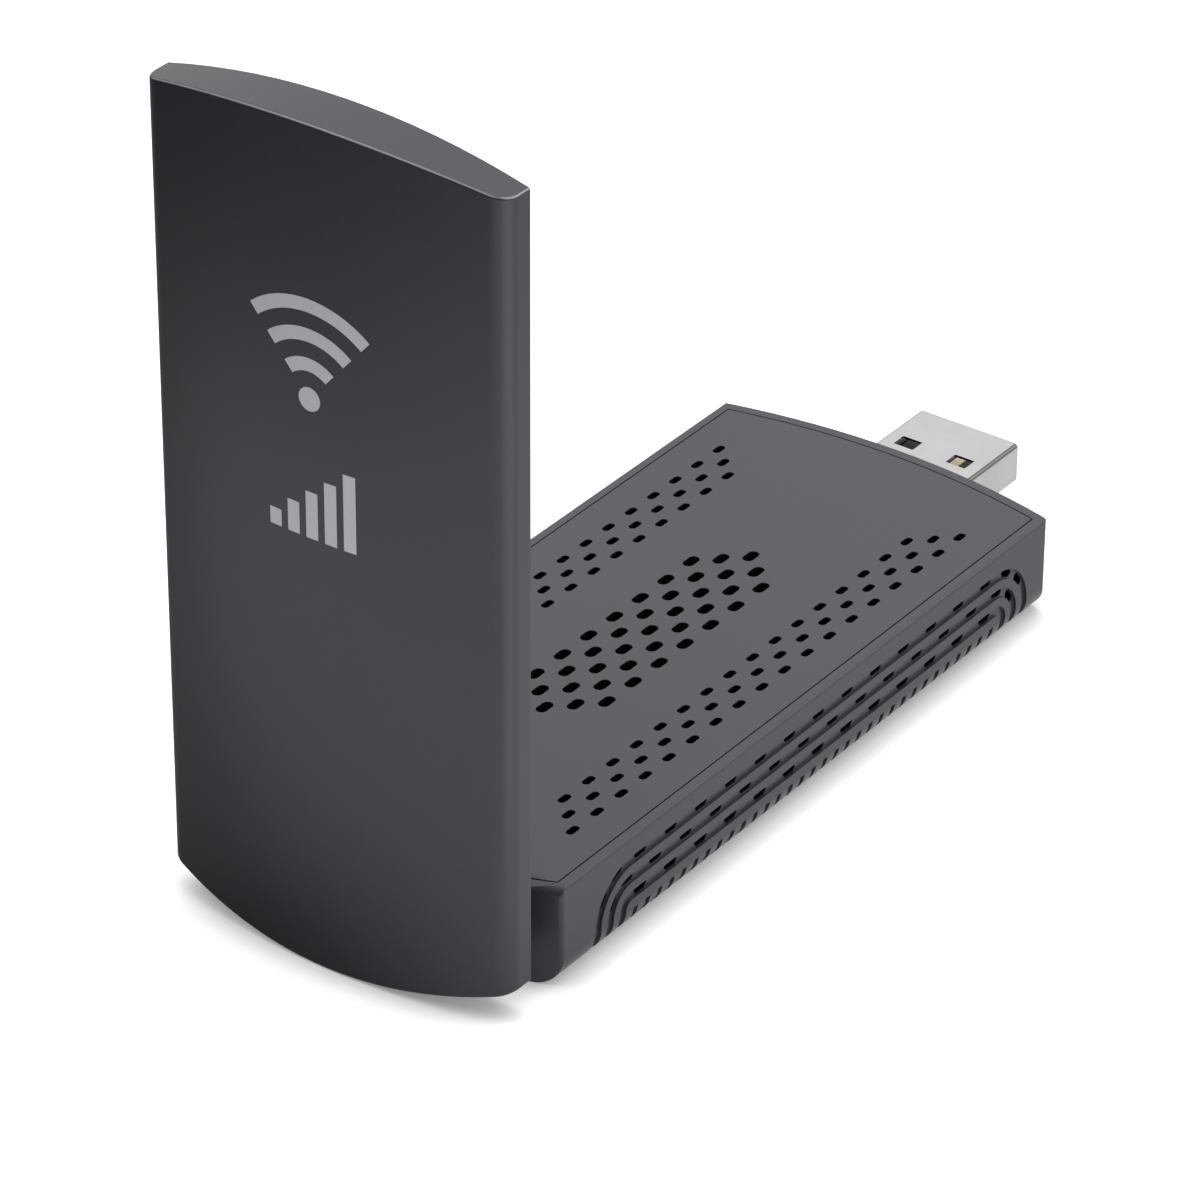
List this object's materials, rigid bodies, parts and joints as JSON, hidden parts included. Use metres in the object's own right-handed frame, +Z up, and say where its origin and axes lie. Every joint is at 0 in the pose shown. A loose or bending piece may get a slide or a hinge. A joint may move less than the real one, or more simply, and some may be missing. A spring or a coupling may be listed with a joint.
{
  "type": "usb wifi adapter",
  "caption": "Flat vented USB-A wireless network adapter whose wide antenna leaf stands upright on a friction hinge at one end and folds flat over the top.",
  "frame": {"origin": "middle of the body's flat base, on the surface it lies on", "axes": "+X along the body towards the USB plug, +Y across the body and along the hinge axis, +Z up from the base towards the vented cover; the antenna leaf stands upright at the -X end"},
  "size_m": [0.1071, 0.0388, 0.0861],
  "materials": {
    "housing_plastic": "fine grained dark grey moulding",
    "cover_plastic": "fine grained dark grey moulding",
    "leaf_plastic": "satin dark grey moulding with a pale print",
    "leaf_inner_plastic": "fine grained dark grey moulding",
    "plug_steel": "plated sheet steel",
    "plug_plastic": "smooth white moulding",
    "contact_gold": "thin gold plating",
    "board_laminate": "green solder mask",
    "antenna_laminate": "black solder mask",
    "can_steel": "tinned sheet steel",
    "chip_resin": "moulded resin",
    "pad_silicone": "soft heat pad",
    "sink_aluminium": "extruded, black anodised",
    "component_ceramic": "fired ceramic and resin",
    "led_resin": "clear resin",
    "screw_steel": "black zinc",
    "hinge_steel": "ground steel",
    "washer_steel": "spring steel",
    "socket_gold": "gold plating",
    "coax_jacket": "smooth black jacket"
  },
  "bodies": {
    "body": {"lower_housing": "housing_plastic", "vent_cover": "cover_plastic", "main_board": "board_laminate", "usb_plug_shell": "plug_steel", "usb_tongue": "plug_plastic", "usb_contacts": "contact_gold", "wifi_shield_can": "can_steel", "front_end_can": "can_steel", "wifi_chip": "chip_resin", "chip_pad": "pad_silicone", "heatsink_pad": "pad_silicone", "heatsink": "sink_aluminium", "board_components": "component_ceramic", "status_led": "led_resin", "cover_screws": "screw_steel", "coax_sockets": "socket_gold", "coax_plugs": "socket_gold", "body_coax_left": "coax_jacket", "body_coax_right": "coax_jacket", "hinge_pins": "hinge_steel", "friction_washers": "washer_steel"},
    "leaf": {"leaf_outer_shell": "leaf_plastic", "leaf_inner_cover": "leaf_inner_plastic", "antenna_board_left": "antenna_laminate", "antenna_board_right": "antenna_laminate", "leaf_coax_left": "coax_jacket", "leaf_coax_right": "coax_jacket"}
  },
  "joints": [
    {"name": "leaf_hinge", "type": "hinge", "parent": "body", "child": "leaf", "pos_m": [-0.0383, 0, 0.0045], "axis": [0, 1, 0], "range_deg": [0, 90]}
  ]
}
